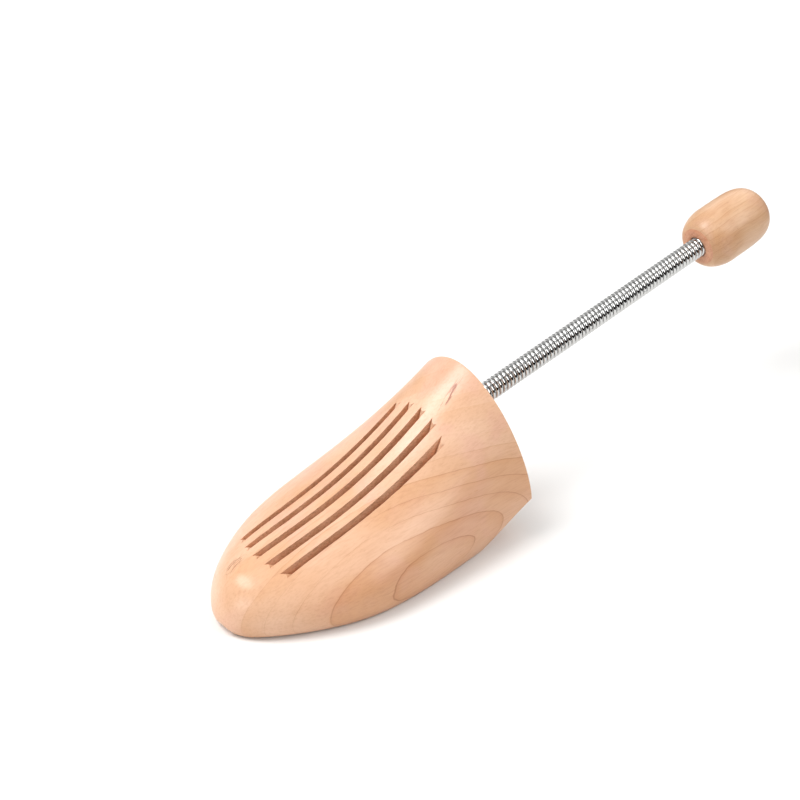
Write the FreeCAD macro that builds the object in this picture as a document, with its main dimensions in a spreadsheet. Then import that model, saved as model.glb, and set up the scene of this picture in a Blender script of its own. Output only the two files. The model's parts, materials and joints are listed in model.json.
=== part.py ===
import FreeCAD, Part
import math
import os
import Sketcher
from FreeCAD import Placement, Rotation, Vector

# Shoe tree for one foot: a solid wooden forepart, a close-wound coil spring and a turned knob.
# +Z is up, the toe points along -Y, the spring climbs along +Y, and z = 0 is the flat sole.
# The origin is on the sole, below the middle of its flat.

doc = FreeCAD.newDocument("shoe_tree")

DIMS = [
    # forepart: lengths from the toe tip, half widths and heights at five equal stations
    ("toe_to_origin", 62.0),
    ("fore_length", 136.0),
    ("half_width_0", 31.5),
    ("half_width_1", 37.5),
    ("half_width_2", 41.0),
    ("half_width_3", 38.5),
    ("half_width_4", 37.0),
    ("height_0", 19.5),
    ("height_1", 29.5),
    ("height_2", 39.0),
    ("height_3", 55.0),
    ("height_4", 74.5),
    ("toe_shift", 8.0),
    ("rear_shift", 3.0),
    ("toe_round_plan", 0.44),
    ("toe_round_side", 0.09),
    ("toe_round_power", 2.2),
    ("nose_share", 0.6),
    ("belly_height", 0.30),
    ("sole_share_0", 0.58),
    ("sole_share_1", 0.83),
    ("sole_share_2", 0.89),
    ("sole_share_3", 0.865),
    ("sole_share_4", 0.90),
    ("crown_power", 1.9),
    ("shank_start", 0.88),
    ("shank_rise", 11.0),
    ("shank_power", 1.6),
    ("planing_allowance", 0.5),
    # the two lower rear edges are sanded off flat: where from, how steep, how far out
    ("bevel_start", 107.5),
    ("bevel_climb", 28.4),
    ("bevel_fall", 38.7),
    ("bevel_reach", 37.0),
    # vent slots, plunged from above with one round saw
    ("slot_count", 5),
    ("slot_width", 3.0),
    ("slot_pitch", 7.5),
    ("slot_first", -9.5),
    ("saw_radius", 57.8),
    ("saw_y", -9.0),
    ("saw_z", 73.3),
    # spring: its axis leaves the middle of the rear face
    ("bore_height", 46.5),
    ("spring_tilt", 11.5),
    ("spring_outer", 9.5),
    ("wire", 1.8),
    ("coil_pitch", 2.235),
    ("fore_turns", 9),
    ("end_turns", 6),
    ("bend_turns", 8),
    ("bend_count", 8),
    ("knob_turns", 8),
    ("coil_gap", 0.02),
    ("bore_spare_turns", 0.5),
    ("bore_clearance", 0.1),
    # studs that the spring's ends are screwed onto
    ("stud_body", 5.7),
    ("stud_screw", 4.0),
    ("stud_body_length", 12.0),
    ("stud_screw_length", 14.0),
    ("stud_point", 4.0),
    ("pilot_spare", 1.0),
    ("pilot_clearance", 0.05),
    # knob: the powers shape its shoulder and its full round end
    ("knob_diameter", 29.0),
    ("knob_length", 42.0),
    ("knob_face", 17.2),
    ("knob_arris", 0.6),
    ("knob_shoulder", 12.3),
    ("shoulder_power", 1.13),
    ("end_power_along", 0.36),
    ("end_power_across", 0.64),
]


def make_sheet():
    sheet = doc.addObject("Spreadsheet::Sheet", "dims")
    for row, (alias, value) in enumerate(DIMS, start=1):
        sheet.set("A%d" % row, alias)
        sheet.set("B%d" % row, str(value))
        sheet.setAlias("B%d" % row, alias)
    doc.recompute()
    return sheet


sheet = make_sheet()


def dim(alias):
    return float(getattr(sheet, alias))


def bind(obj, **formulas):
    for prop, formula in formulas.items():
        obj.setExpression(prop.replace("__", "."), formula)


# ---- the spring's axis frame: local +Z runs up the spring from the bore's mouth ----

MOUTH_Y = "dims.fore_length - dims.toe_to_origin"


def on_axis(obj, along):
    """Places obj on the spring's axis, `along` being a formula in the sheet's cells."""
    turn = Rotation(Vector(-1, 0, 0), 90 - dim("spring_tilt"))
    mouth = Vector(0, dim("fore_length") - dim("toe_to_origin"), dim("bore_height"))
    obj.Placement = Placement(mouth, turn)
    bind(
        obj,
        Placement__Base__y="%s + (%s) * cos(dims.spring_tilt * 1deg)" % (MOUTH_Y, along),
        Placement__Base__z="dims.bore_height + (%s) * sin(dims.spring_tilt * 1deg)" % along,
        Placement__Rotation__Angle="(90 - dims.spring_tilt) * 1deg",
    )


EXPOSED = "(2 * dims.end_turns + (dims.bend_count - 1) * dims.bend_turns) * dims.coil_pitch"
FORE_BORE = "(dims.fore_turns + dims.bore_spare_turns) * dims.coil_pitch"
KNOB_BORE = "(dims.knob_turns + dims.bore_spare_turns) * dims.coil_pitch"
BORE_RADIUS = "dims.spring_outer / 2 + dims.bore_clearance"
PILOT_DEPTH = "dims.stud_screw_length + dims.pilot_spare"
PILOT_RADIUS = "dims.stud_screw / 2 + dims.pilot_clearance"


# ---- forepart ----

def through(name, share):
    """Value at `share` of the length, on the smooth curve through the five stations."""
    stations = [0.0, 0.25, 0.5, 0.75, 1.0]
    total = 0.0
    for i, here in enumerate(stations):
        term = dim("%s_%d" % (name, i))
        for other in stations:
            if other != here:
                term *= (share - other) / (here - other)
        total += term
    return total


def rounding(share, reach):
    """Grows from 0 at the toe tip to 1 at `reach`, like the side of an ellipse."""
    left = max(0.0, 1 - share / reach)
    return math.sqrt(max(0.0, 1 - left ** dim("toe_round_power")))


def section(share):
    """Closed wire across the forepart: flat sole, round edges, full sides, domed top."""
    half = through("half_width", share) * rounding(share, dim("toe_round_plan"))
    tall = through("height", share)
    belly = tall * dim("belly_height")
    top = belly + (tall - belly) * rounding(share, dim("toe_round_side"))
    nose = rounding(share, dim("nose_share") * dim("toe_round_side"))
    past = max(0.0, (share - dim("shank_start")) / (1 - dim("shank_start")))
    rise = dim("shank_rise") * past ** dim("shank_power")
    sole = belly * (1 - nose) + rise - dim("planing_allowance")
    middle = dim("toe_shift") * (1 - share) ** 2 + dim("rear_shift") * share
    flat = half * through("sole_share", share)
    lean = math.tan(math.radians(dim("spring_tilt")))

    def point(x, z):
        y = share * (dim("fore_length") - (z - dim("bore_height")) * lean) - dim("toe_to_origin")
        return Vector(middle + x, y, z)

    def edge_curve(side):
        steps = [math.radians(a) for a in (0, 22.5, 45, 67.5, 90)]
        return [
            point(side * (flat + (half - flat) * math.cos(a)), belly - (belly - sole) * math.sin(a))
            for a in steps
        ]

    def crown():
        power = 2 / dim("crown_power")
        out = []
        for k in range(17):
            a = math.pi * k / 16
            x = half * math.copysign(abs(math.cos(a)) ** power, math.cos(a))
            out.append(point(x, belly + (top - belly) * abs(math.sin(a)) ** power))
        return out

    edges = []
    for points in (crown(), edge_curve(-1), edge_curve(1)[::-1]):
        curve = Part.BSplineCurve()
        curve.interpolate(points)
        edges.append(curve.toShape())
    sole_line = Part.LineSegment(point(-flat, sole), point(flat, sole)).toShape()
    return Part.Wire([edges[0], edges[1], sole_line, edges[2]])


def make_blank():
    tip_height = through("height", 0) * dim("belly_height")
    tip = Part.Vertex(Vector(dim("toe_shift"), -dim("toe_to_origin"), tip_height))
    shares = [0.003, 0.012, 0.03, 0.06, 0.11, 0.18, 0.28, 0.4, 0.53, 0.66, 0.78, 0.88, 0.94, 1.0]
    blank = doc.addObject("Part::Feature", "fore_blank")
    blank.Shape = Part.makeLoft([tip] + [section(s) for s in shares], True, False)
    return blank


def make_slots():
    slots = []
    for k in range(int(dim("slot_count"))):
        disc = doc.addObject("Part::Cylinder", "saw_cut_%d" % (k + 1))
        disc.Placement = Placement(Vector(), Rotation(Vector(0, 1, 0), 90))
        bind(
            disc,
            Radius="dims.saw_radius",
            Height="dims.slot_width",
            Placement__Base__x="dims.slot_first + %d * dims.slot_pitch - dims.slot_width / 2" % k,
            Placement__Base__y="dims.saw_y",
            Placement__Base__z="dims.saw_z",
        )
        slots.append(disc)
    return slots


def make_planing():
    """What the planer takes off below z = 0, so that the sole is truly flat."""
    box = doc.addObject("Part::Box", "planing")
    bind(
        box,
        Length="4 * dims.half_width_2",
        Width="2 * dims.fore_length",
        Height="20 * dims.planing_allowance",
        Placement__Base__x="-2 * dims.half_width_2",
        Placement__Base__y="-1.5 * dims.toe_to_origin",
        Placement__Base__z="-20 * dims.planing_allowance",
    )
    return box


def make_bevel(name, side):
    """Takes off a lower rear edge, in a plane that climbs to the rear and to the flank."""
    box = doc.addObject("Part::Box", name)
    climb = math.tan(math.radians(dim("bevel_climb")))
    fall = math.tan(math.radians(dim("bevel_fall")))
    turn = Rotation(Vector(0, 0, 1), Vector(-side * fall, -climb, 1))
    size = dim("fore_length")
    across = dim("rear_shift") + side * dim("bevel_reach")
    corner = Vector(across, dim("bevel_start") - dim("toe_to_origin"), 0)
    box.Placement = Placement(corner - turn.multVec(Vector(size / 2, size / 2, size)), turn)
    bind(box, Length="dims.fore_length", Width="dims.fore_length", Height="dims.fore_length")
    return box


def make_hole(name, depth, radius, start):
    """A round hole up the spring's axis, from `start` along it."""
    hole = doc.addObject("Part::Cylinder", name)
    on_axis(hole, start)
    bind(hole, Radius=radius, Height=depth)
    return hole


def make_forepart():
    bore = make_hole("fore_bore", "%s + dims.spring_outer" % FORE_BORE, BORE_RADIUS, "-" + FORE_BORE)
    pilot = make_hole("fore_pilot", PILOT_DEPTH, PILOT_RADIUS, "-%s - (%s)" % (FORE_BORE, PILOT_DEPTH))
    tools = doc.addObject("Part::MultiFuse", "fore_cuts")
    bevels = [make_bevel("left_bevel", -1), make_bevel("right_bevel", 1)]
    tools.Shapes = make_slots() + bevels + [make_planing(), bore, pilot]
    body = doc.addObject("Part::Cut", "forepart")
    body.Base = make_blank()
    body.Tool = tools
    return body


# ---- spring ----

def make_spring_length(number, turns, before):
    """One length of the coil; it starts `before` turns along the axis from the bore's mouth."""
    helix = doc.addObject("Part::Helix", "coil_path_%d" % number)
    bind(
        helix,
        Pitch="dims.coil_pitch",
        Height="(%s) * dims.coil_pitch - dims.coil_gap" % turns,
        Radius="(dims.spring_outer - dims.wire) / 2",
    )
    section = doc.addObject("Part::Circle", "coil_wire_%d" % number)
    section.Placement = Placement(Vector(), Rotation(Vector(1, 0, 0), 90))
    bind(section, Radius="dims.wire / 2", Placement__Base__x="(dims.spring_outer - dims.wire) / 2")
    coil = doc.addObject("Part::Sweep", "coil_spring_%d" % number)
    coil.Sections = [section]
    coil.Spine = (helix, [])
    coil.Solid = True
    coil.Frenet = True
    on_axis(coil, "(%s) * dims.coil_pitch" % before)
    return coil


def make_spring():
    count = int(dim("bend_count"))
    lengths = [make_spring_length(1, "dims.fore_turns + dims.end_turns", "-dims.fore_turns")]
    for k in range(1, count):
        before = "dims.end_turns + %d * dims.bend_turns" % (k - 1)
        lengths.append(make_spring_length(k + 1, "dims.bend_turns", before))
    before = "dims.end_turns + (dims.bend_count - 1) * dims.bend_turns"
    lengths.append(make_spring_length(count + 1, "dims.end_turns + dims.knob_turns", before))
    return lengths


# ---- turned pieces ----

def closed_sketch(body, name, points):
    """A sketch of straight lines on the body's XZ plane, its corners placed by the sheet."""
    sketch = body.newObject("Sketcher::SketchObject", name)
    plane = [f for f in body.Origin.OriginFeatures if f.Role == "XZ_Plane"][0]
    sketch.AttachmentSupport = [(plane, "")]
    sketch.MapMode = "FlatFace"
    values = [(evaluate(r), evaluate(z)) for r, z in points]
    count = len(values)
    for i in range(count):
        a, b = values[i], values[(i + 1) % count]
        sketch.addGeometry(Part.LineSegment(Vector(a[0], a[1], 0), Vector(b[0], b[1], 0)))
    for i in range(count):
        sketch.addConstraint(Sketcher.Constraint("Coincident", i, 2, (i + 1) % count, 1))
    for i, (r, z) in enumerate(points):
        pin(sketch, i, "DistanceX", r, values[i][0])
        pin(sketch, i, "DistanceY", z, values[i][1])
    return sketch


def evaluate(formula):
    return float(sheet.evalExpression(formula))


def pin(sketch, line, kind, formula, value):
    """Fixes the start of a line at a distance from the sketch's origin."""
    if abs(value) < 1e-9:
        axis = -2 if kind == "DistanceX" else -1
        sketch.addConstraint(Sketcher.Constraint("PointOnObject", line, 1, axis))
        return
    index = sketch.addConstraint(Sketcher.Constraint(kind, -1, 1, line, 1, value))
    sketch.setExpression("Constraints[%d]" % index, formula)


def revolve(body, sketch, name):
    turned = body.newObject("PartDesign::Revolution", name)
    turned.Profile = sketch
    turned.ReferenceAxis = (sketch, ["V_Axis"])
    turned.Angle = 360
    body.Tip = turned
    return turned


def make_stud(name, side, along):
    """Plain stud: thick end inside the coil, thinner screw end with a point in the wood.

    `side` is 1 where the screw end points up the spring and -1 where it points down."""
    body = doc.addObject("PartDesign::Body", name)
    thick = "dims.stud_body / 2"
    thin = "dims.stud_screw / 2"
    shoulder = "%d * dims.stud_body_length" % side
    point = "%d * (dims.stud_body_length + dims.stud_screw_length - dims.stud_point)" % side
    tip = "%d * (dims.stud_body_length + dims.stud_screw_length)" % side
    outline = [
        ("0", "0"), (thick, "0"), (thick, shoulder), (thin, shoulder), (thin, point), ("0", tip)]
    sketch = closed_sketch(body, name + "_profile", outline)
    revolve(body, sketch, name + "_turned")
    on_axis(body, along)
    return body


def knob_barrel():
    """The knob's outer curve, from the arris at its face to the pole of its round end."""
    belly = dim("knob_diameter") / 2
    start = dim("knob_face") / 2 + dim("knob_arris")
    reach = dim("knob_shoulder") - dim("knob_arris")
    power = dim("shoulder_power")
    points = []
    for k in range(6):
        turn = math.pi / 2 * k / 6
        r = start + (belly - start) * math.sin(turn) ** power
        points.append(Vector(r, dim("knob_arris") + reach * (1 - math.cos(turn) ** power), 0))
    crown = dim("knob_length") - dim("knob_shoulder")
    for a in (0, 1, 4, 10, 18, 28, 40, 54, 68, 80):
        turn = math.radians(a)
        z = dim("knob_shoulder") + crown * math.sin(turn) ** dim("end_power_along")
        points.append(Vector(belly * math.cos(turn) ** dim("end_power_across"), z, 0))
    points.append(Vector(0, dim("knob_length"), 0))
    barrel = Part.BSplineCurve()
    barrel.interpolate(points)
    return barrel


def make_knob():
    """Barrel knob: flat face with a narrow arris, full shoulder, full round end."""
    body = doc.addObject("PartDesign::Body", "heel_knob")
    sketch = body.newObject("Sketcher::SketchObject", "knob_profile")
    plane = [f for f in body.Origin.OriginFeatures if f.Role == "XZ_Plane"][0]
    sketch.AttachmentSupport = [(plane, "")]
    sketch.MapMode = "FlatFace"
    barrel = knob_barrel()
    face = Vector(dim("knob_face") / 2, 0, 0)
    sketch.addGeometry(Part.LineSegment(Vector(0, 0, 0), face))
    sketch.addGeometry(Part.LineSegment(face, barrel.StartPoint))
    sketch.addGeometry(barrel)
    sketch.addGeometry(Part.LineSegment(barrel.EndPoint, Vector(0, 0, 0)))
    revolve(body, sketch, "knob_turned")

    pilot_end = "%s + %s" % (KNOB_BORE, PILOT_DEPTH)
    outline = [
        ("0", "0"), (BORE_RADIUS, "0"), (BORE_RADIUS, KNOB_BORE), (PILOT_RADIUS, KNOB_BORE),
        (PILOT_RADIUS, pilot_end), ("0", pilot_end)]
    hole = closed_sketch(body, "knob_hole_profile", outline)
    doc.recompute()
    groove = body.newObject("PartDesign::Groove", "knob_hole")
    groove.Profile = hole
    groove.ReferenceAxis = (hole, ["V_Axis"])
    groove.Angle = 360
    body.Tip = groove
    on_axis(body, EXPOSED)
    return body


def check(objects, pieces):
    for obj in objects:
        if "Invalid" in obj.State or "Error" in obj.State:
            raise RuntimeError("%s did not recompute: %s" % (obj.Label, obj.State))
    for piece in pieces:
        if piece.Shape.isNull() or not piece.Shape.isValid():
            raise RuntimeError("%s has no valid shape" % piece.Label)
        if len(piece.Shape.Solids) != 1:
            raise RuntimeError("%s is %d solids" % (piece.Label, len(piece.Shape.Solids)))


pieces = [make_forepart()]
pieces += make_spring()
pieces.append(make_stud("fore_stud", -1, "dims.stud_body_length - %s" % FORE_BORE))
pieces.append(make_stud("knob_stud", 1, "%s + %s - dims.stud_body_length" % (EXPOSED, KNOB_BORE)))
pieces.append(make_knob())
doc.recompute()
check(doc.Objects, pieces)

os.makedirs("parts", exist_ok=True)
for piece in pieces:
    piece.Shape.exportStep("parts/%s.step" % piece.Label)
    box = piece.Shape.BoundBox
    print("%-16s %9.1f mm3  x %6.1f %6.1f  y %6.1f %6.1f  z %6.1f %6.1f" % (
        piece.Label, piece.Shape.Volume, box.XMin, box.XMax, box.YMin, box.YMax, box.ZMin, box.ZMax))
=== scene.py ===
import bmesh
import bpy
import json
import math
from mathutils import Matrix, Vector, noise

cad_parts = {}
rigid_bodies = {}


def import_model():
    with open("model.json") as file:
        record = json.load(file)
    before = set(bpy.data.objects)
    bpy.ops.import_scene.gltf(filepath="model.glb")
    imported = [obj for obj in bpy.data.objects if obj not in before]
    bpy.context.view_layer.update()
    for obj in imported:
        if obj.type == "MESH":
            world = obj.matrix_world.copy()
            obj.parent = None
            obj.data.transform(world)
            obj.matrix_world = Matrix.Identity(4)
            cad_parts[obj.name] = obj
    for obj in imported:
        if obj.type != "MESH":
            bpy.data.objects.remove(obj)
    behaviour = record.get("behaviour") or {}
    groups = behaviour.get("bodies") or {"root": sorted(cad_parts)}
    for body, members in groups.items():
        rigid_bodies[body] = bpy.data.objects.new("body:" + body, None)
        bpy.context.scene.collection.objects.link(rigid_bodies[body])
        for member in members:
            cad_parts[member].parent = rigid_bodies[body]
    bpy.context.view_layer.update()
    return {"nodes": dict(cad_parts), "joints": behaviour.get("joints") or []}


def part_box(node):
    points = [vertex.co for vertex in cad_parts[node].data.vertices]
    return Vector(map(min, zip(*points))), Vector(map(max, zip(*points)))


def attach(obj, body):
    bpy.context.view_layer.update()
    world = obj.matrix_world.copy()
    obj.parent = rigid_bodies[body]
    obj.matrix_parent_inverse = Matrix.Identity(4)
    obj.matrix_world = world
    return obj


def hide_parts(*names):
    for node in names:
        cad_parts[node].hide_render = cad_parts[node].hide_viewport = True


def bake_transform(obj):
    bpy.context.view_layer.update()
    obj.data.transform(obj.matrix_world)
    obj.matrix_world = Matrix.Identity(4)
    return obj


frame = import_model()
mm = 0.001
mergeDistance = 0.004 * mm

hinges = [Vector(joint["pos_m"]) for joint in frame["joints"]]  # along the spring, toe end first
bodyChain = [frame["joints"][0]["parent"]] + [joint["child"] for joint in frame["joints"]]
springAxis = (hinges[-1] - hinges[0]).normalized()
bendLength = (hinges[-1] - hinges[0]).length / (len(hinges) - 1)

spring = {
    "outer": 9.5, "wire": 1.8,  # mm
    "foreTurns": 9, "endTurns": 2,  # inside the forepart, and bare at each end of the bends
    "bendTurns": 8, "knobTurns": 8,  # round each hinge, and inside the knob
    "pointsPerTurn": 36, "wireSides": 14,
}
coilPitch = bendLength / spring["bendTurns"]
mouth = hinges[0] - springAxis * coilPitch * (  # where the spring leaves the forepart
    spring["endTurns"] + spring["bendTurns"] / 2)


def meshObject(name, vertices, faces, materials):
    mesh = bpy.data.meshes.new(name)
    mesh.from_pydata([tuple(v) for v in vertices], [], faces)
    for material in materials:
        mesh.materials.append(material)
    obj = bpy.data.objects.new(name, mesh)
    bpy.context.scene.collection.objects.link(obj)
    return obj


def band(first, count):
    # the faces between one closed ring of points, from `first` on, and the ring after it
    after = first + count
    turns = [(k, (k + 1) % count) for k in range(count)]
    return [(first + k, first + n, after + n, after + k) for k, n in turns]


def shadeSmooth(obj, sharpAngle):
    obj.data.shade_smooth()
    obj.data.set_sharp_from_angle(angle=math.radians(sharpAngle))


def tidyMesh(obj, sharpAngle):
    # merges doubles, turns faces outwards and leaves only real corners sharp
    work = bmesh.new()
    work.from_mesh(obj.data)
    bmesh.ops.remove_doubles(work, verts=work.verts, dist=mergeDistance)
    bmesh.ops.recalc_face_normals(work, faces=work.faces)
    work.to_mesh(obj.data)
    work.free()
    shadeSmooth(obj, sharpAngle)


def bakeModifiers(obj):
    bpy.context.view_layer.update()
    depsgraph = bpy.context.evaluated_depsgraph_get()
    finished = bpy.data.meshes.new_from_object(obj.evaluated_get(depsgraph))
    obj.modifiers.clear()
    obj.data = finished


def removeObjects(objects):
    for obj in objects:
        bpy.data.objects.remove(obj)


# materials

def hexColour(code):
    def linear(value):
        return value / 12.92 if value <= 0.04045 else ((value + 0.055) / 1.055) ** 2.4
    return [linear(int(code[i:i + 2], 16) / 255) for i in (1, 3, 5)] + [1.0]


def addNode(tree, kind, settings=None, inputs=None):
    # settings are the node's own properties; inputs are values or another node's output
    node = tree.nodes.new(kind)
    for name, value in (settings or {}).items():
        setattr(node, name, value)
    for name, value in (inputs or {}).items():
        if isinstance(value, bpy.types.NodeSocket):
            tree.links.new(value, node.inputs[name])
        else:
            node.inputs[name].default_value = value
    return node


def setRamp(node, stops):
    ramp = node.color_ramp
    while len(ramp.elements) > 1:
        ramp.elements.remove(ramp.elements[-1])
    for i, (place, colour) in enumerate(stops):
        element = ramp.elements[0] if i == 0 else ramp.elements.new(place)
        element.position = place
        element.color = colour
    return node


def newMaterial(name):
    material = bpy.data.materials.new(name)
    material.use_nodes = True
    tree = material.node_tree
    tree.nodes.clear()
    out = addNode(tree, "ShaderNodeOutputMaterial")
    shader = addNode(tree, "ShaderNodeBsdfPrincipled")
    tree.links.new(shader.outputs["BSDF"], out.inputs["Surface"])
    return material, tree, shader


def grey(value):
    return (value, value, value, 1.0)


def woodMaterial(name, look):
    # nested growth rings round a heart inside the block, fine fibres along it, soft changes of tone
    material, tree, shader = newMaterial(name)
    place = addNode(tree, "ShaderNodeTexCoord")
    turned = addNode(tree, "ShaderNodeMapping", {"vector_type": "TEXTURE"}, {
        "Vector": place.outputs["Object"],
        "Location": [c * mm for c in look["heart"]],
        "Rotation": [math.radians(a) for a in look["grainTurn"]],
    })

    def noiseOf(vector, size, detail, roughness=0.5):
        return addNode(tree, "ShaderNodeTexNoise", {"noise_dimensions": "3D"}, {
            "Vector": vector, "Scale": 1 / (size * mm), "Detail": detail, "Roughness": roughness})

    def strayed(vector, size, reach, detail):
        stray = noiseOf(vector, size, detail)
        centred = addNode(tree, "ShaderNodeVectorMath", {"operation": "SUBTRACT"}, {
            0: stray.outputs["Color"], 1: (0.5, 0.5, 0.5)})
        return addNode(tree, "ShaderNodeVectorMath", {"operation": "MULTIPLY_ADD"}, {
            0: centred.outputs["Vector"], 1: [reach * mm] * 3, 2: vector}).outputs["Vector"]

    def mixed(factor, first, second, blend="MIX"):
        node = addNode(tree, "ShaderNodeMix", {"data_type": "RGBA", "blend_type": blend}, {
            "Factor": factor, 6: first, 7: second})
        return node.outputs[2]

    def eased(value, low, high, toLow=0.0, toHigh=1.0):
        node = addNode(tree, "ShaderNodeMapRange", {"interpolation_type": "SMOOTHSTEP"}, {
            "Value": value, "From Min": low, "From Max": high, "To Min": toLow, "To Max": toHigh})
        return node.outputs["Result"]

    bowed = strayed(turned.outputs["Vector"], look["bowSize"], look["bow"], 1.0)
    ragged = strayed(bowed, look["ragSize"], look["rag"], 3.0)
    nested = addNode(tree, "ShaderNodeVectorMath", {"operation": "MULTIPLY"}, {
        0: ragged, 1: (1.0, look["lengthShare"], 1.0)})
    distance = addNode(tree, "ShaderNodeVectorMath", {"operation": "LENGTH"}, {
        0: nested.outputs["Vector"]})
    rings = addNode(tree, "ShaderNodeMath", {"operation": "MULTIPLY_ADD"}, {
        0: distance.outputs["Value"], 1: 1 / (look["ringWidth"] * mm), 2: look["ringShift"]})
    ring = addNode(tree, "ShaderNodeMath", {"operation": "FRACT"}, {0: rings.outputs["Value"]})
    year = addNode(tree, "ShaderNodeMath", {"operation": "FLOOR"}, {0: rings.outputs["Value"]})
    yearTone = addNode(tree, "ShaderNodeTexWhiteNoise", {"noise_dimensions": "1D"}, {
        "W": year.outputs["Value"]})
    line = setRamp(addNode(tree, "ShaderNodeValToRGB", {}, {"Fac": ring.outputs["Value"]}),
                   look["ringStops"])
    fading = noiseOf(bowed, look["patchSize"] * 1.3, 1.0)  # the lines come and go
    clear, faint = look["ringReach"]
    near = eased(distance.outputs["Value"], clear * mm, faint * mm, 1.0, 0.12)
    patchy = eased(fading.outputs["Fac"], 0.36, 0.58, look["ringDepth"] * 0.3, look["ringDepth"])
    ringDepth = addNode(tree, "ShaderNodeMath", {"operation": "MULTIPLY"}, {
        0: near, 1: patchy}).outputs["Value"]

    stretched = addNode(tree, "ShaderNodeVectorMath", {"operation": "MULTIPLY"}, {
        0: bowed, 1: (1.0, look["fibreStretch"], 1.0)}).outputs["Vector"]
    fibres = noiseOf(stretched, look["fibreWidth"], 4.0, 0.62)
    pores = noiseOf(stretched, look["fibreWidth"] / 2.6, 2.0)  # real ones are finer, and wouldn't show
    drawnOut = addNode(tree, "ShaderNodeVectorMath", {"operation": "MULTIPLY"}, {
        0: bowed, 1: (1.0, look["patchStretch"], 1.0)}).outputs["Vector"]
    patches = noiseOf(drawnOut, look["patchSize"], 2.5, 0.55)
    blush = noiseOf(strayed(turned.outputs["Vector"], look["patchSize"], 25, 1.0),
                    look["patchSize"] * 0.8, 2.0)

    tone = addNode(tree, "ShaderNodeMath", {"operation": "MULTIPLY_ADD"}, {
        0: yearTone.outputs["Value"], 1: 0.16, 2: patches.outputs["Fac"]})
    colour = mixed(eased(tone.outputs["Value"], 0.42, 0.74), hexColour(look["light"]),
                   hexColour(look["warm"]))
    colour = mixed(eased(blush.outputs["Fac"], 0.48, 0.68, 0.0, look["blushDepth"]), colour,
                   hexColour(look["blush"]))
    core = eased(distance.outputs["Value"], 10 * mm, 34 * mm, look["coreDepth"], 0.0)  # heartwood
    colour = mixed(core, colour, hexColour(look["core"]))
    colour = mixed(ringDepth, colour, line.outputs["Color"], "MULTIPLY")
    fibreTone = setRamp(addNode(tree, "ShaderNodeValToRGB", {}, {"Fac": fibres.outputs["Fac"]}), [
        (0.3, hexColour(look["fibreDark"])), (0.55, (1, 1, 1, 1)), (0.75, (1, 1, 1, 1))])
    colour = mixed(look["fibreDepth"], colour, fibreTone.outputs["Color"], "MULTIPLY")
    poreTone = setRamp(addNode(tree, "ShaderNodeValToRGB", {}, {"Fac": pores.outputs["Fac"]}), [
        (0.27, hexColour(look["fibreDark"])), (0.34, (1, 1, 1, 1)), (1.0, (1, 1, 1, 1))])
    colour = mixed(look["poreDepth"], colour, poreTone.outputs["Color"], "MULTIPLY")
    for mark in look["marks"]:
        half = mark["half"]
        turn = Vector(mark["along"]).to_track_quat("Y", "Z").to_euler()
        local = addNode(tree, "ShaderNodeMapping", {"vector_type": "TEXTURE"}, {
            "Vector": place.outputs["Object"], "Location": [c * mm for c in mark["middle"]],
            "Rotation": turn, "Scale": [c * mm for c in half]})
        reach = addNode(tree, "ShaderNodeVectorMath", {"operation": "LENGTH"}, {
            0: local.outputs["Vector"]})
        drawn = addNode(tree, "ShaderNodeVectorMath", {"operation": "MULTIPLY"}, {
            0: local.outputs["Vector"],
            1: (half[0] / mark["fineness"], mark["breaks"], half[2] / mark["fineness"])})
        threads = addNode(tree, "ShaderNodeTexNoise", {}, {
            "Vector": drawn.outputs["Vector"], "Scale": 1.0, "Detail": 2.0})
        strength = addNode(tree, "ShaderNodeMath", {"operation": "MULTIPLY"}, {
            0: eased(reach.outputs["Value"], 0.4, 1.0, mark["depth"], 0.0),
            1: eased(threads.outputs["Fac"], 0.5, 0.6)})
        colour = mixed(strength.outputs["Value"], colour, hexColour(mark["colour"]))
    tree.links.new(colour, shader.inputs["Base Color"])

    gloss = addNode(tree, "ShaderNodeMapRange", {}, {
        "Value": fibres.outputs["Fac"], "From Min": 0.3, "From Max": 0.7,
        "To Min": look["roughness"] + 0.05, "To Max": look["roughness"] - 0.04})
    tree.links.new(gloss.outputs["Result"], shader.inputs["Roughness"])
    relief = addNode(tree, "ShaderNodeBump", {}, {
        "Height": fibres.outputs["Fac"], "Strength": look["relief"], "Distance": 0.1 * mm})
    tree.links.new(relief.outputs["Normal"], shader.inputs["Normal"])
    shader.inputs["IOR"].default_value = 1.45
    shader.inputs["Specular IOR Level"].default_value = look["specular"]
    return material


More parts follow.
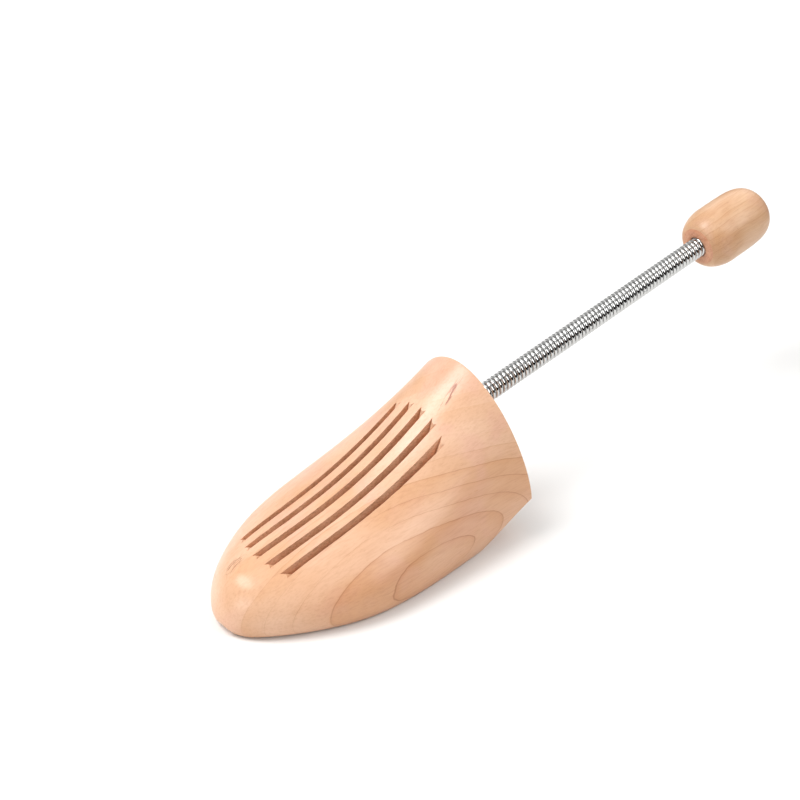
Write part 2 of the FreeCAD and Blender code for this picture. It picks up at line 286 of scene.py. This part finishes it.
redWood = {  # sanded and left bare: peach, rosy in places, with thin brown ring lines
    "light": "#DFB698", "warm": "#D3A27C", "blush": "#DAAA92", "blushDepth": 0.6,
    "heart": (36, 17.2, 11.2), "grainTurn": (4.6, 0, 0), "bow": 2.5, "bowSize": 40,
    "rag": 0.7, "ragSize": 6, "lengthShare": 0.35, "ringWidth": 5.23, "ringShift": 0.827,
    "ringDepth": 0.85, "ringReach": (30, 46), "core": "#C68A5C", "coreDepth": 0.35,
    "ringStops": [(0.0, grey(0.99)), (0.5, grey(1.0)), (0.88, (0.96, 0.92, 0.87, 1)),
                  (0.95, (0.9, 0.82, 0.73, 1)), (0.963, (0.62, 0.44, 0.3, 1)),
                  (0.978, (0.75, 0.6, 0.47, 1)), (0.99, grey(0.99))],
    "fibreWidth": 0.8, "fibreStretch": 0.06, "fibreDark": "#C08F68", "fibreDepth": 0.2,
    "poreDepth": 0.22, "patchSize": 30, "patchStretch": 0.45,
    "roughness": 0.31, "relief": 0.12, "specular": 0.58,
    "marks": [
        {"middle": (10.8, 57.5, 66), "along": (0.12, -0.81, -0.58), "half": (1.7, 12, 4),
         "fineness": 0.8, "breaks": 1.6, "colour": "#97502F", "depth": 0.95},   # resin streak by the rim
        {"middle": (1, -48.5, 23), "along": (0.2, -0.86, -0.35), "half": (3.2, 8, 4),
         "fineness": 0.35, "breaks": 1.2, "colour": "#8F5B3C", "depth": 0.8},  # scuffs on the toe
    ]}
sandedRedWood = woodMaterial("sandedRedWood", redWood)

sawnWoodPaintedLight = woodMaterial("sawnWoodPaintedLight", {**redWood,  # walls left as the saw cuts them: matt and fibrous, and painted paler than the outside wood as painted light against the shade in the narrow kerfs
    # these colours are painted light: paler than the outside wood, so the shaded kerf and bore walls
    # read brighter
    "light": "#ECBE9C", "warm": "#DFAC88", "blush": "#E0AD8E", "blushDepth": 0.5,
    "ringDepth": 0.3, "coreDepth": 0.2,
    "ringStops": [(0.0, grey(0.9)), (0.9, grey(1.0)), (1.0, grey(0.7))],
    "fibreWidth": 0.7, "fibreStretch": 0.5, "fibreDark": "#8A5C40", "fibreDepth": 0.4,
    "poreDepth": 0.4, "patchSize": 8, "patchStretch": 1.0,
    "roughness": 0.85, "relief": 0.8, "specular": 0.15, "marks": []})

paleWood = {  # the knob's wood, turned and sanded: closer grained and a little yellower
    "light": "#D4AD8B", "warm": "#C79973", "blush": "#CEA387", "blushDepth": 0.5,
    "heart": (26, 236, 62), "grainTurn": (11, 0, 3), "bow": 6, "bowSize": 40,
    "rag": 0.6, "ragSize": 5, "lengthShare": 0.2, "ringWidth": 3.1, "ringShift": 0.3,
    "ringDepth": 0.5, "ringReach": (60, 80), "core": "#C68A5C", "coreDepth": 0.0,
    "ringStops": [(0.0, grey(0.98)), (0.55, grey(1.0)), (0.86, (0.96, 0.92, 0.87, 1)),
                  (0.95, (0.74, 0.58, 0.44, 1)), (1.0, grey(0.98))],
    "fibreWidth": 0.6, "fibreStretch": 0.07, "fibreDark": "#B98F62", "fibreDepth": 0.22,
    "poreDepth": 0.35, "patchSize": 16, "patchStretch": 0.5,
    "roughness": 0.34, "relief": 0.15, "specular": 0.4, "marks": []}
turnedPaleWood = woodMaterial("turnedPaleWood", paleWood)

endGrainWood = woodMaterial("endGrainWood", {**paleWood,  # flat face: pores end on, pinker and deeper
    "light": "#D6A283", "warm": "#C98F6E", "blush": "#D09A7E", "ringWidth": 2.4,
    "ringStops": [(0.0, grey(0.97)), (0.6, grey(1.0)), (0.9, (0.8, 0.7, 0.6, 1)), (1.0, grey(0.97))],
    "fibreWidth": 0.5, "fibreStretch": 1.0, "fibreDark": "#A97A58", "fibreDepth": 0.4,
    "poreDepth": 0.4, "patchSize": 6, "patchStretch": 1.0,
    "roughness": 0.5, "relief": 0.3, "specular": 0.3})


def metalMaterial(name, colour, roughness):
    material, tree, shader = newMaterial(name)
    place = addNode(tree, "ShaderNodeTexCoord")
    film = addNode(tree, "ShaderNodeTexNoise", {}, {
        "Vector": place.outputs["Object"], "Scale": 1 / (1.5 * mm), "Detail": 3.0})
    spread = addNode(tree, "ShaderNodeMapRange", {}, {
        "Value": film.outputs["Fac"], "From Min": 0.3, "From Max": 0.7,
        "To Min": roughness * 0.8, "To Max": roughness * 1.3})
    tree.links.new(spread.outputs["Result"], shader.inputs["Roughness"])
    shader.inputs["Base Color"].default_value = hexColour(colour)
    shader.inputs["Metallic"].default_value = 1.0
    return material


chromedWire = metalMaterial("chromedWire", "#CBCBCA", 0.07)  # bright plated wire, mirror-like
zincSteel = metalMaterial("zincSteel", "#A9ACAE", 0.38)  # dull plated stud
print("materials made")


# forepart

forepart = {
    "length": 136,            # mm from the toe tip to the rear face, at the spring's height
    "halfWidths": (31.5, 37.5, 41, 38.5, 37),
    "heights": (19.5, 29.5, 39, 55, 74.5),
    "toeShift": 8, "rearShift": 3,
    "toeRoundPlan": 0.44, "toeRoundSide": 0.09,  # share of the length that the toe's rounding takes
    "noseShare": 0.6, "roundPower": 2.2,
    "bellyHeight": 0.30, "crownPower": 1.9,
    "soleShares": (0.58, 0.83, 0.89, 0.865, 0.90),
    "shankStart": 0.88, "shankRise": 11, "shankPower": 1.6,
    "rimRadius": 0.4, "rearInsets": (6, 14, 22),
    "boreRadius": 4.85, "boreDepth": 21.2, "drillOut": 12,
    "ringCount": 190, "crownPoints": 150, "edgePoints": 22, "solePoints": 30,
}
bevels = {  # the two lower rear edges are sanded off flat
    "start": 107.5, "climb": 28.4, "fall": 38.7, "reach": 37,
    "inside": 45, "outside": 30, "before": 40, "behind": 60, "deep": 90,  # mm, how far the cutter goes
}
slots = {
    "count": 5, "width": 3, "pitch": 7.5, "first": -9.5,
    "sawRadius": 57.8, "sawCentre": (-9, 73.3),  # mm, along Y and Z
    "sweepStart": -150, "sweep": 170,            # degrees of the disc that the cutter takes
    "steps": 200, "layers": 9, "layerDepth": 3.5,
    "wander": 0.12, "wanderSize": 2.2,           # mm, how far the saw strays, and over what length
    "ridge": 0.8, "ridgeShare": 0.2,             # mm, left standing along the middle of the kerf
}
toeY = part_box("forepart")[0].y
lean = springAxis.z / springAxis.y  # the rear face is square to the spring


def throughStations(values, share):
    # a smooth curve through values that stand evenly from the toe (0) to the rear face (1)
    total = 0.0
    for i, value in enumerate(values):
        for j in range(len(values)):
            if j != i:
                value *= (share * (len(values) - 1) - j) / (i - j)
        total += value
    return total


def rounding(share, reach):
    # rises from 0 at the toe's tip to 1 at `reach`
    left = max(0.0, 1 - share / reach)
    return math.sqrt(max(0.0, 1 - left ** forepart["roundPower"]))


def forepartRing(share, inset=0.0):
    # one closed ring across the block, from the +X belly over the crown and back along the sole
    f = forepart
    half = throughStations(f["halfWidths"], share) * rounding(share, f["toeRoundPlan"])
    tall = throughStations(f["heights"], share)
    belly = tall * f["bellyHeight"]
    top = belly + (tall - belly) * rounding(share, f["toeRoundSide"])
    nose = rounding(share, f["noseShare"] * f["toeRoundSide"])
    past = max(0.0, (share - f["shankStart"]) / (1 - f["shankStart"]))
    sole = belly * (1 - nose) + f["shankRise"] * past ** f["shankPower"]
    middle = f["toeShift"] * (1 - share) ** 2 + f["rearShift"] * share
    flat = half * throughStations(f["soleShares"], share)
    outline = []
    for k in range(f["crownPoints"]):
        a = math.pi * k / f["crownPoints"]
        power = 2 / f["crownPower"]
        x = half * math.copysign(abs(math.cos(a)) ** power, math.cos(a))
        outline.append((x, belly + (top - belly) * math.sin(a) ** power))
    for k in range(f["edgePoints"]):
        a = math.pi / 2 * k / f["edgePoints"]
        outline.append((-flat - (half - flat) * math.cos(a), belly - (belly - sole) * math.sin(a)))
    for k in range(f["solePoints"]):
        outline.append((-flat + 2 * flat * k / f["solePoints"], sole))
    for k in range(f["edgePoints"]):
        a = math.pi / 2 * (1 - k / f["edgePoints"])
        outline.append((flat + (half - flat) * math.cos(a), belly - (belly - sole) * math.sin(a)))
    ring = []
    for x, z in outline:
        if inset:
            reach = math.hypot(x, z - mouth.z / mm)
            x -= inset * x / reach
            z -= inset * (z - mouth.z / mm) / reach
        y = share * (f["length"] - (z - mouth.z / mm) * lean)
        ring.append(Vector(((middle + x) * mm, toeY + y * mm, z * mm)))
    return ring


def makeForepartBlank():
    f = forepart
    rings = []
    for k in range(1, f["ringCount"]):
        u = k / f["ringCount"]
        closer = 0.5 * u * u + 0.5 * (1 - math.cos(math.pi / 2 * u))  # rings crowd at the toe
        rings.append(forepartRing(closer))
    for a in (0, 22, 45, 68, 90):  # the rear rim is eased by hand
        out = f["rimRadius"] * (1 - math.cos(math.radians(a)))
        back = f["rimRadius"] * (1 - math.sin(math.radians(a)))
        rings.append(forepartRing(1 - back / f["length"], out))
    for inset in f["rearInsets"]:
        rings.append(forepartRing(1.0, inset))
    count = len(rings[0])
    tip = Vector((f["toeShift"] * mm, toeY, f["heights"][0] * f["bellyHeight"] * mm))
    vertices = [tip] + [v for ring in rings for v in ring]
    faces = [(0, 1 + (k + 1) % count, 1 + k) for k in range(count)]
    for r in range(len(rings) - 1):
        faces += band(1 + r * count, count)
    last = 1 + (len(rings) - 1) * count
    vertices.append(sum(rings[-1], Vector()) / count)
    faces += [(last + k, last + (k + 1) % count, len(vertices) - 1) for k in range(count)]
    blank = meshObject("forepart_block", vertices, faces, [sandedRedWood])
    tidyMesh(blank, 50)
    return blank


def makeSawCut(number):
    # a slice of the saw's disc; its sides stray a little and its teeth leave a ridge in the kerf
    s = slots
    centreX = s["first"] + s["pitch"] * number
    along, deep = s["steps"], s["layers"]
    centreY, centreZ = s["sawCentre"]
    loops = []
    for i in range(along + 1):
        angle = math.radians(s["sweepStart"] + s["sweep"] * i / along)
        loop = []
        for side in (-1, 1):
            wallX = centreX + side * s["width"] / 2
            for j in (range(deep, -1, -1) if side < 0 else range(deep + 1)):
                radius = s["sawRadius"] - s["layerDepth"] * j
                y, z = centreY + radius * math.cos(angle), centreZ + radius * math.sin(angle)
                own = Vector((side * 3 + number * 7, y, z))  # each wall strays in its own way
                stray = s["wander"] * noise.noise(own / s["wanderSize"])
                loop.append(Vector((wallX + stray, y, z)) * mm)
            if side < 0:
                radius = s["sawRadius"] - s["ridge"]
                y, z = centreY + radius * math.cos(angle), centreZ + radius * math.sin(angle)
                for share in (-s["ridgeShare"], s["ridgeShare"]):
                    loop.append(Vector((centreX + share * s["width"], y, z)) * mm)
        loops.append(loop)
    count = len(loops[0])
    vertices = [v for loop in loops for v in loop]
    faces = []
    for i in range(along):
        faces += band(i * count, count)
    faces += [tuple(range(count)), tuple(range(along * count, (along + 1) * count))]
    # the kerf walls take the sawn wood that is painted paler: painted light in the shaded slots
    cut = meshObject("saw_cut", vertices, faces, [sawnWoodPaintedLight, sandedRedWood])
    for i in range(along):  # the kerf's floor catches the light like the outside
        for k in range(deep, deep + 3):
            cut.data.polygons[i * count + k].material_index = 1
    tidyMesh(cut, 30)
    return cut


def makeBevel(side):
    # everything under a plane that climbs to the rear and to the flank
    b, f = bevels, forepart
    climb, fall = math.tan(math.radians(b["climb"])), math.tan(math.radians(b["fall"]))
    startX = f["rearShift"] + side * b["reach"]
    startY = toeY / mm + b["start"]
    vertices = []
    for x in (startX - side * b["inside"], startX + side * b["outside"]):
        for y in (startY - b["before"], startY + b["behind"]):
            top = climb * (y - startY) + fall * side * (x - startX)
            vertices += [Vector((x, y, top)) * mm, Vector((x, y, top - b["deep"])) * mm]
    faces = [(0, 2, 6, 4), (1, 3, 7, 5), (0, 1, 3, 2), (4, 5, 7, 6), (0, 1, 5, 4), (2, 3, 7, 6)]
    cut = meshObject("bevel_cut", vertices, faces, [sandedRedWood])
    tidyMesh(cut, 30)
    return cut


def makeDrill(start, end, radius, material, sides=96):
    # a round cutter along the spring's axis, from and to so many mm past the rear face
    turn = springAxis.to_track_quat("Z", "Y")
    vertices = []
    for along in (start, end):
        for k in range(sides):
            a = 2 * math.pi * k / sides
            flat = Vector((math.cos(a), math.sin(a), 0)) * radius
            vertices.append((mouth / mm + springAxis * along + turn @ flat) * mm)
    faces = band(0, sides) + [tuple(range(sides)), tuple(range(sides, 2 * sides))]
    drill = meshObject("drill", vertices, faces, [material])
    tidyMesh(drill, 30)
    return drill


def cutAway(obj, cutters):
    for cutter in cutters:
        cut = obj.modifiers.new("cut", "BOOLEAN")
        cut.operation = "DIFFERENCE"
        cut.solver = "EXACT"
        cut.material_mode = "TRANSFER"
        cut.object = cutter
    bakeModifiers(obj)
    removeObjects(cutters)


forepartBlock = makeForepartBlank()
cutters = [makeSawCut(number) for number in range(slots["count"])]
cutters += [makeBevel(-1), makeBevel(1)]
# the bore's walls take the sawn wood that is painted paler: painted light in the bore's shade
cutters.append(makeDrill(-forepart["boreDepth"], forepart["drillOut"], forepart["boreRadius"], sawnWoodPaintedLight))
cutAway(forepartBlock, cutters)
shadeSmooth(forepartBlock, 38)
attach(forepartBlock, "forepart")
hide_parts("forepart")
print("forepart made,", len(forepartBlock.data.polygons), "faces")


# spring

def makeCoilTree():
    # a spiral of wire: named sizes in, one closed mesh out
    tree = bpy.data.node_groups.new("coilOfWire", "GeometryNodeTree")
    tree.interface.new_socket("Geometry", in_out="OUTPUT", socket_type="NodeSocketGeometry")
    for name in ("Turns", "Pitch", "Coil Radius", "Wire Radius"):
        tree.interface.new_socket(name, in_out="INPUT", socket_type="NodeSocketFloat")
    sizes = addNode(tree, "NodeGroupInput")
    height = addNode(tree, "ShaderNodeMath", {"operation": "MULTIPLY"}, {
        0: sizes.outputs["Turns"], 1: sizes.outputs["Pitch"]})
    spiral = addNode(tree, "GeometryNodeCurveSpiral", {}, {
        "Resolution": spring["pointsPerTurn"], "Rotations": sizes.outputs["Turns"],
        "Start Radius": sizes.outputs["Coil Radius"], "End Radius": sizes.outputs["Coil Radius"],
        "Height": height.outputs["Value"], "Reverse": False})
    section = addNode(tree, "GeometryNodeCurvePrimitiveCircle", {"mode": "RADIUS"}, {
        "Resolution": spring["wireSides"], "Radius": sizes.outputs["Wire Radius"]})
    wire = addNode(tree, "GeometryNodeCurveToMesh", {}, {
        "Curve": spiral.outputs["Curve"], "Profile Curve": section.outputs["Curve"],
        "Fill Caps": True})
    smooth = addNode(tree, "GeometryNodeSetShadeSmooth", {}, {"Geometry": wire.outputs["Mesh"]})
    real = addNode(tree, "GeometryNodeRealizeInstances", {}, {
        "Geometry": smooth.outputs["Geometry"]})
    finish = addNode(tree, "GeometryNodeSetMaterial", {}, {
        "Geometry": real.outputs["Geometry"], "Material": chromedWire})
    addNode(tree, "NodeGroupOutput", {}, {"Geometry": finish.outputs["Geometry"]})
    return tree


coilTree = makeCoilTree()
springTilt = math.atan2(springAxis.z, springAxis.y)
alongSpring = Matrix.Rotation(springTilt - math.pi / 2, 4, "X")  # turns +Z to the spring's axis


def makeCoil(name, turns, startTurns):
    # startTurns counts from the forepart's rear face, up the spring
    coil = meshObject(name, [], [], [chromedWire])
    modifier = coil.modifiers.new("coil", "NODES")
    modifier.node_group = coilTree
    values = {
        "Turns": turns, "Pitch": coilPitch,
        "Coil Radius": (spring["outer"] - spring["wire"]) / 2 * mm,
        "Wire Radius": spring["wire"] / 2 * mm}
    for item in coilTree.interface.items_tree:
        if item.in_out == "INPUT":
            modifier[item.identifier] = float(values[item.name])
    bakeModifiers(coil)
    start = mouth + springAxis * coilPitch * startTurns
    coil.data.transform(Matrix.Translation(start) @ alongSpring)
    return coil


def finishCoil(coil, *nodes):
    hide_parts(*nodes)


foreEnd = makeCoil("spring_fore_end", spring["foreTurns"] + spring["endTurns"], -spring["foreTurns"])
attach(foreEnd, bodyChain[0])
finishCoil(foreEnd, "coil_spring_1")
for number in range(len(hinges)):
    first = spring["endTurns"] + number * spring["bendTurns"]
    coil = makeCoil("spring_bend_%d" % (number + 1), spring["bendTurns"], first)
    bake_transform(coil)
    finishCoil(coil, "coil_spring_%d" % (number + 2))
exposedTurns = 2 * spring["endTurns"] + len(hinges) * spring["bendTurns"]
knobEnd = makeCoil("spring_knob_end", spring["endTurns"] + spring["knobTurns"],
                   exposedTurns - spring["endTurns"])
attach(knobEnd, bodyChain[-1])
finishCoil(knobEnd, "coil_spring_9")
print("spring made,", exposedTurns, "turns showing")


# knob

knob = {
    "diameter": 29, "length": 42, "face": 17.2, "arris": 0.6,
    "shoulder": 12.3, "shoulderPower": 1.13, "endPowers": (0.36, 0.64),
    "boreRadius": 4.85, "boreDepth": 19.0, "boreEase": 0.3,
    "sides": 128, "boreRows": 8, "faceRows": 4, "shoulderRows": 24, "endRows": 48, "endCrowding": 1.8,
}


def knobOutline():
    # (radius, height) from the bottom of the bore, over the face and the barrel, to the far end
    k = knob
    face, belly = k["face"] / 2, k["diameter"] / 2
    bore, eased = k["boreRadius"], k["boreRadius"] + k["boreEase"]
    points = [(0.0, k["boreDepth"])]
    points += [(bore, k["boreDepth"] * (1 - i / k["boreRows"])) for i in range(k["boreRows"])]
    points += [(bore, k["boreEase"]), (eased, 0.0)]
    points += [(eased + (face - eased) * (i + 1) / k["faceRows"], 0.0) for i in range(k["faceRows"])]
    start, reach = face + k["arris"], k["shoulder"] - k["arris"]
    for i in range(k["shoulderRows"]):
        a = math.pi / 2 * i / k["shoulderRows"]
        points.append((start + (belly - start) * math.sin(a) ** k["shoulderPower"],
                       k["arris"] + reach * (1 - math.cos(a) ** k["shoulderPower"])))
    crown = k["length"] - k["shoulder"]
    for i in range(k["endRows"] + 1):
        a = math.pi / 2 * (i / k["endRows"]) ** k["endCrowding"]
        points.append((belly * max(0.0, math.cos(a)) ** k["endPowers"][1],
                       k["shoulder"] + crown * math.sin(a) ** k["endPowers"][0]))
    points[-1] = (0.0, k["length"])
    return points


def makeKnob():
    outline = knobOutline()
    sides = knob["sides"]
    vertices, faces = [], []
    for radius, height in outline:
        for i in range(sides):
            a = 2 * math.pi * i / sides
            vertices.append(Vector((radius * math.cos(a), radius * math.sin(a), height)) * mm)
    for r in range(len(outline) - 1):
        faces += band(r * sides, sides)
    shape = meshObject("turned_knob", vertices, faces, [turnedPaleWood, endGrainWood])
    for face in shape.data.polygons:
        if face.center.z < (knob["boreEase"] + 0.05) * mm:
            face.material_index = 1  # the flat face and the bore's eased rim
    tidyMesh(shape, 50)
    start = mouth + springAxis * coilPitch * exposedTurns
    shape.data.transform(Matrix.Translation(start) @ alongSpring)
    return shape


turnedKnob = makeKnob()
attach(turnedKnob, bodyChain[-1])
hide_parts("heel_knob")
for name in ("fore_stud", "knob_stud"):
    stud = frame["nodes"][name]
    stud.data.materials.clear()
    stud.data.materials.append(zincSteel)
print("knob made")


# stage: pale floor, soft lights, the camera and the room round them

view = {
    "azimuth": 49.83, "elevation": 31.76, "lens": 76.5, "distance": 0.7474,
    "aim": Vector((-25.0, 60.1, 45.0)) * mm,
}
floorDisc = {"radius": 0.6, "steps": 96, "tooth": 900}  # metres, and grains to a metre of paper
softboxes = {  # metres to the right of the camera's view, away and up; then size and watts
    "key_softbox": (-0.7, -0.14, 1.22, 0.76, 17),
    "side_softbox": (1.15, -0.35, 1.0, 0.9, 12),
    "front_softbox": (-0.8, -1.0, 0.45, 0.6, 4.5),
    "back_softbox": (0.3, 1.3, 1.1, 1.2, 5),
}
room = {  # pale ceiling to the left, dark low down on the camera's side
    "brightSide": (-0.25, 0.4, 0.88), "strength": 0.55, "backdrop": 2.4,
    "walls": [(0.3, grey(0.01)), (0.5, grey(0.03)), (0.57, grey(0.4)), (0.72, grey(0.75)),
              (0.82, grey(1.0))],
}


def makeFloor():
    material, tree, shader = newMaterial("whitePaper")  # smooth matt sweep, a touch of tooth
    place = addNode(tree, "ShaderNodeTexCoord")
    tooth = addNode(tree, "ShaderNodeTexNoise", {}, {
        "Vector": place.outputs["Object"], "Scale": floorDisc["tooth"], "Detail": 2.0})
    relief = addNode(tree, "ShaderNodeBump", {}, {
        "Height": tooth.outputs["Fac"], "Strength": 0.05, "Distance": 0.05 * mm})
    tree.links.new(relief.outputs["Normal"], shader.inputs["Normal"])
    shader.inputs["Base Color"].default_value = hexColour("#EAEAE9")
    shader.inputs["Roughness"].default_value = 0.8
    shader.inputs["Specular IOR Level"].default_value = 0.2
    steps, radius = floorDisc["steps"], floorDisc["radius"]
    edge = []
    for i in range(steps):
        a = 2 * math.pi * i / steps
        edge.append((view["aim"].x + radius * math.cos(a), view["aim"].y + radius * math.sin(a), 0))
    floor = meshObject("paper_floor", edge, [tuple(range(steps))], [material])


def fromCamera(toSide, toBack, height):
    # a direction as the camera has it: to the right, away, and up
    a = math.radians(view["azimuth"])
    right = Vector((math.cos(a), math.sin(a), 0))
    back = Vector((-math.sin(a), math.cos(a), 0))
    return right * toSide + back * toBack + Vector((0, 0, height))


def addSoftbox(name, toSide, toBack, height, size, watts):
    light = bpy.data.lights.new(name, "AREA")
    light.shape = "SQUARE"
    light.size = size
    light.energy = watts
    lamp = bpy.data.objects.new(name, light)
    lamp.location = view["aim"] + fromCamera(toSide, toBack, height)
    lamp.rotation_euler = (view["aim"] - lamp.location).to_track_quat("-Z", "Y").to_euler()
    bpy.context.scene.collection.objects.link(lamp)


def addCamera():
    a, e = math.radians(view["azimuth"]), math.radians(view["elevation"])
    back = Vector((math.sin(a) * math.cos(e), -math.cos(a) * math.cos(e), math.sin(e)))
    lens = bpy.data.cameras.new("camera")
    lens.lens = view["lens"]
    lens.sensor_width = 36
    lens.clip_start = 0.05
    camera = bpy.data.objects.new("camera", lens)
    camera.location = view["aim"] + back * view["distance"]
    camera.rotation_euler = back.to_track_quat("Z", "Y").to_euler()
    bpy.context.scene.collection.objects.link(camera)
    bpy.context.scene.camera = camera


def makeRoom():
    world = bpy.data.worlds.new("studio")
    world.use_nodes = True
    tree = world.node_tree
    look = addNode(tree, "ShaderNodeTexCoord")
    towards = addNode(tree, "ShaderNodeVectorMath", {"operation": "DOT_PRODUCT"}, {
        0: look.outputs["Generated"], 1: fromCamera(*room["brightSide"]).normalized()})
    share = addNode(tree, "ShaderNodeMapRange", {}, {
        "Value": towards.outputs["Value"], "From Min": -1.0, "From Max": 1.0})
    walls = setRamp(addNode(tree, "ShaderNodeValToRGB", {}, {"Fac": share.outputs["Result"]}),
                    room["walls"])
    seen = addNode(tree, "ShaderNodeLightPath")
    backdrop = addNode(tree, "ShaderNodeMix", {"data_type": "RGBA"}, {  # looked at directly, white
        "Factor": seen.outputs["Is Camera Ray"], 6: walls.outputs["Color"],
        7: grey(room["backdrop"])})
    tree.links.new(backdrop.outputs[2], tree.nodes["Background"].inputs["Color"])
    tree.nodes["Background"].inputs["Strength"].default_value = room["strength"]
    bpy.context.scene.world = world


makeFloor()
addCamera()
for name, (toSide, toBack, height, size, watts) in softboxes.items():
    addSoftbox(name, toSide, toBack, height, size, watts)
makeRoom()
bpy.context.scene.view_settings.view_transform = "Standard"
print("stage made")
